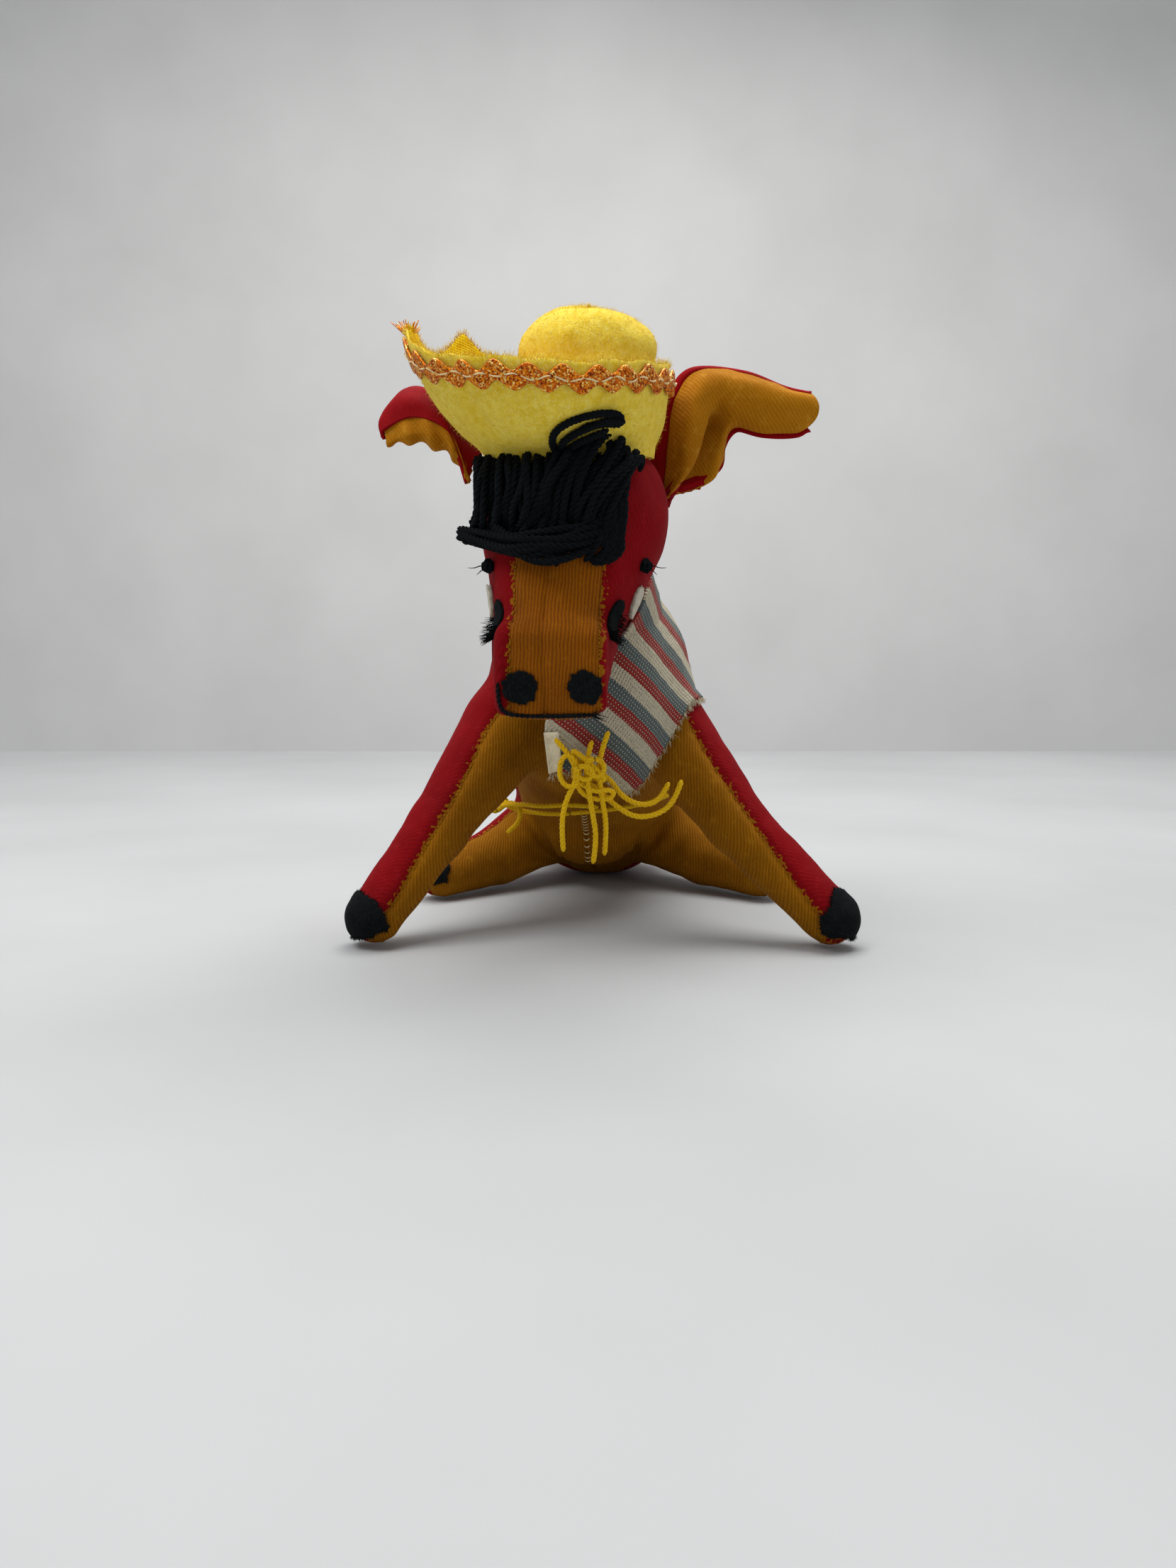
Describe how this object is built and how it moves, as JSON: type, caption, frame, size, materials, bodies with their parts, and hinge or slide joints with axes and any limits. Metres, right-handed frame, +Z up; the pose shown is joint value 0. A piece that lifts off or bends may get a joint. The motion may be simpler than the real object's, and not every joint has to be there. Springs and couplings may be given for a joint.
{
  "type": "stuffed toy donkey with sombrero",
  "caption": "Small seated donkey of ribbed velveteen with felt hooves, a felt sombrero, yarn forelock, striped woven blanket and yellow cord ties.",
  "frame": {"origin": "middle of the flat patch under the rump, on the surface the toy sits on", "axes": "+Z up, the donkey faces -Y, its own left side is +X"},
  "size_m": [0.1308, 0.1869, 0.1518],
  "materials": {
    "red_velveteen": "ribbed pile, soft sheen",
    "gold_velveteen": "ribbed pile, soft sheen",
    "stuffing": "loose cotton",
    "black_felt": "matted wool felt",
    "cream_felt": "matted wool felt",
    "black_yarn": "plied wool yarn",
    "yellow_hat_felt": "brushed felt with a fuzzy cut edge",
    "metallic_trim": "glitter thread rickrack",
    "cream_thread": "cotton thread",
    "woven_blanket": "striped plain weave with frayed edges",
    "label_tape": "plain woven tape",
    "yellow_cord": "twisted nylon cord"
  },
  "bodies": {
    "body": {"body_stuffing": "stuffing", "head_stuffing": "stuffing", "front_right_leg_stuffing": "stuffing", "front_left_leg_stuffing": "stuffing", "hind_right_leg_stuffing": "stuffing", "hind_left_leg_stuffing": "stuffing", "side_panel_right": "red_velveteen", "side_panel_left": "red_velveteen", "under_gusset_right": "gold_velveteen", "under_gusset_left": "gold_velveteen", "face_gusset": "gold_velveteen", "front_right_hoof": "black_felt", "front_left_hoof": "black_felt", "hind_right_hoof": "black_felt", "hind_left_hoof": "black_felt", "nostril_right": "black_felt", "nostril_left": "black_felt", "lash_right": "black_felt", "lash_left": "black_felt", "eye_white_right": "cream_felt", "eye_white_left": "cream_felt", "temple_knot_right": "black_yarn", "temple_knot_left": "black_yarn", "mouth_thread": "black_yarn", "forelock": "black_yarn", "mane": "black_yarn", "blanket": "woven_blanket", "blanket_label": "label_tape", "tassel_cord_a": "yellow_cord", "tassel_cord_b": "yellow_cord", "tassel_cord_c": "yellow_cord", "tassel_cord_d": "yellow_cord", "tassel_cord_e": "yellow_cord", "girth_end": "yellow_cord", "girth_cord": "yellow_cord", "tassel_knot": "yellow_cord", "girth_knot": "yellow_cord", "belly_stitches": "yellow_cord"},
    "ear_left": {"ear_lining_left": "gold_velveteen", "ear_back_left": "red_velveteen"},
    "ear_right": {"ear_lining_right": "gold_velveteen", "ear_back_right": "red_velveteen"},
    "hat": {"hat_crown": "yellow_hat_felt", "hat_brim": "yellow_hat_felt", "hat_trim": "metallic_trim", "hat_trim_stitches": "cream_thread"},
    "tail": {"tail": "red_velveteen", "tail_tuft": "black_yarn"}
  },
  "joints": [
    {"name": "ear_left_flop", "type": "hinge", "parent": "body", "child": "ear_left", "pos_m": [0.0144, -0.11, 0.107], "axis": [0, 1, 0], "range_deg": [-3, 30], "stiffness_Nm_per_rad": 0.004},
    {"name": "ear_right_flop", "type": "hinge", "parent": "body", "child": "ear_right", "pos_m": [-0.0306, -0.108, 0.107], "axis": [-0.7772, -0.6292, 0], "range_deg": [-3, 25], "stiffness_Nm_per_rad": 0.004},
    {"name": "hat_rock", "type": "hinge", "parent": "body", "child": "hat", "pos_m": [-0.0083, -0.0972, 0.1205], "axis": [-1, 0, 0], "range_deg": [0, 12]},
    {"name": "tail_swing", "type": "hinge", "parent": "body", "child": "tail", "pos_m": [0, 0.022, 0.044], "axis": [0, 1, 0], "range_deg": [-40, 40]}
  ]
}
